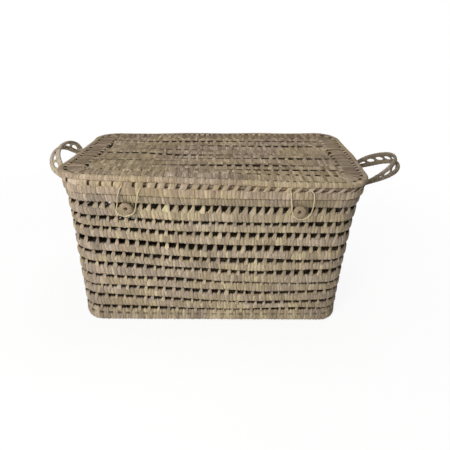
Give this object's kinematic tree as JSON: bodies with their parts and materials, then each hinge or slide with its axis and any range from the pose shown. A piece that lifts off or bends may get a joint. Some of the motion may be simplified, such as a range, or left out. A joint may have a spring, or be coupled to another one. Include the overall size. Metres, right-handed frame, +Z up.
{
  "type": "woven lidded trunk",
  "caption": "Rectangular trunk of coiled, laced palm leaf with a hinged flat lid, openwork side handles and twine loops that hook on buttons; stores linen or toys.",
  "frame": {"origin": "on the floor, under the middle of the base", "axes": "+X along the trunk's length, to the right seen from the front; -Y towards the front; +Z up"},
  "size_m": [0.7801, 0.3384, 0.364],
  "materials": {
    "wall_leaf": "dry matt palm leaf, greyish beige",
    "rim_leaf": "dry palm leaf, straw yellow, slight sheen",
    "lid_leaf": "dry matt palm leaf, olive beige",
    "handle_leaf": "plaited palm leaf, dark olive beige",
    "button_wood": "turned wood, waxed",
    "twine": "pale palm twine"
  },
  "bodies": {
    "basket": {"base_row_01": "wall_leaf", "base_row_02": "wall_leaf", "base_row_03": "wall_leaf", "base_row_04": "wall_leaf", "base_row_05": "wall_leaf", "base_row_06": "wall_leaf", "base_row_07": "wall_leaf", "base_row_08": "wall_leaf", "base_row_09": "wall_leaf", "base_row_10": "wall_leaf", "base_row_11": "wall_leaf", "base_border": "wall_leaf", "wall_coil_01": "wall_leaf", "wall_coil_02": "wall_leaf", "wall_coil_03": "wall_leaf", "wall_coil_04": "wall_leaf", "wall_coil_05": "wall_leaf", "wall_coil_06": "wall_leaf", "wall_coil_07": "wall_leaf", "wall_coil_08": "wall_leaf", "wall_coil_09": "wall_leaf", "wall_coil_10": "wall_leaf", "wall_lacing_01": "wall_leaf", "wall_lacing_02": "wall_leaf", "wall_lacing_03": "wall_leaf", "wall_lacing_04": "wall_leaf", "wall_lacing_05": "wall_leaf", "wall_lacing_06": "wall_leaf", "wall_lacing_07": "wall_leaf", "wall_lacing_08": "wall_leaf", "wall_lacing_09": "wall_leaf", "wall_lacing_10": "wall_leaf", "button_left": "button_wood", "button_right": "button_wood", "button_stalk_left": "twine", "button_stalk_right": "twine", "hinge_tie_left": "twine", "hinge_tie_centre": "twine", "hinge_tie_right": "twine"},
    "lid": {"lid_skirt": "rim_leaf", "lid_lacing": "rim_leaf", "lid_rim": "rim_leaf", "lid_border": "lid_leaf", "lid_row_01": "lid_leaf", "lid_row_02": "lid_leaf", "lid_row_03": "lid_leaf", "lid_row_04": "lid_leaf", "lid_row_05": "lid_leaf", "lid_row_06": "lid_leaf", "lid_row_07": "lid_leaf", "lid_row_08": "lid_leaf", "lid_row_09": "lid_leaf", "lid_row_10": "lid_leaf", "lid_row_11": "lid_leaf"},
    "left_handle": {"left_handle": "handle_leaf"},
    "right_handle": {"right_handle": "handle_leaf"},
    "left_loop": {"left_loop": "twine"},
    "right_loop": {"right_loop": "twine"}
  },
  "joints": [
    {"name": "lid_hinge", "type": "hinge", "parent": "basket", "child": "lid", "pos_m": [0, 0.163, 0.30415], "axis": [-1, 0, 0], "range_deg": [0, 170], "deforming": ["hinge_tie_left", "hinge_tie_centre", "hinge_tie_right", "left_loop", "right_loop"]},
    {"name": "left_handle_hinge", "type": "hinge", "parent": "basket", "child": "left_handle", "pos_m": [-0.2844, 0, 0.265], "axis": [0, 1, 0], "range_deg": [-112, 6]},
    {"name": "right_handle_hinge", "type": "hinge", "parent": "basket", "child": "right_handle", "pos_m": [0.2844, 0, 0.265], "axis": [0, -1, 0], "range_deg": [-90, 28]},
    {"name": "left_loop_swing", "type": "hinge", "parent": "lid", "child": "left_loop", "pos_m": [-0.1535, -0.159, 0.3317], "axis": [-1, 0, 0], "range_deg": [0, 90]},
    {"name": "right_loop_swing", "type": "hinge", "parent": "lid", "child": "right_loop", "pos_m": [0.16, -0.159, 0.3317], "axis": [-1, 0, 0], "range_deg": [0, 90]}
  ]
}
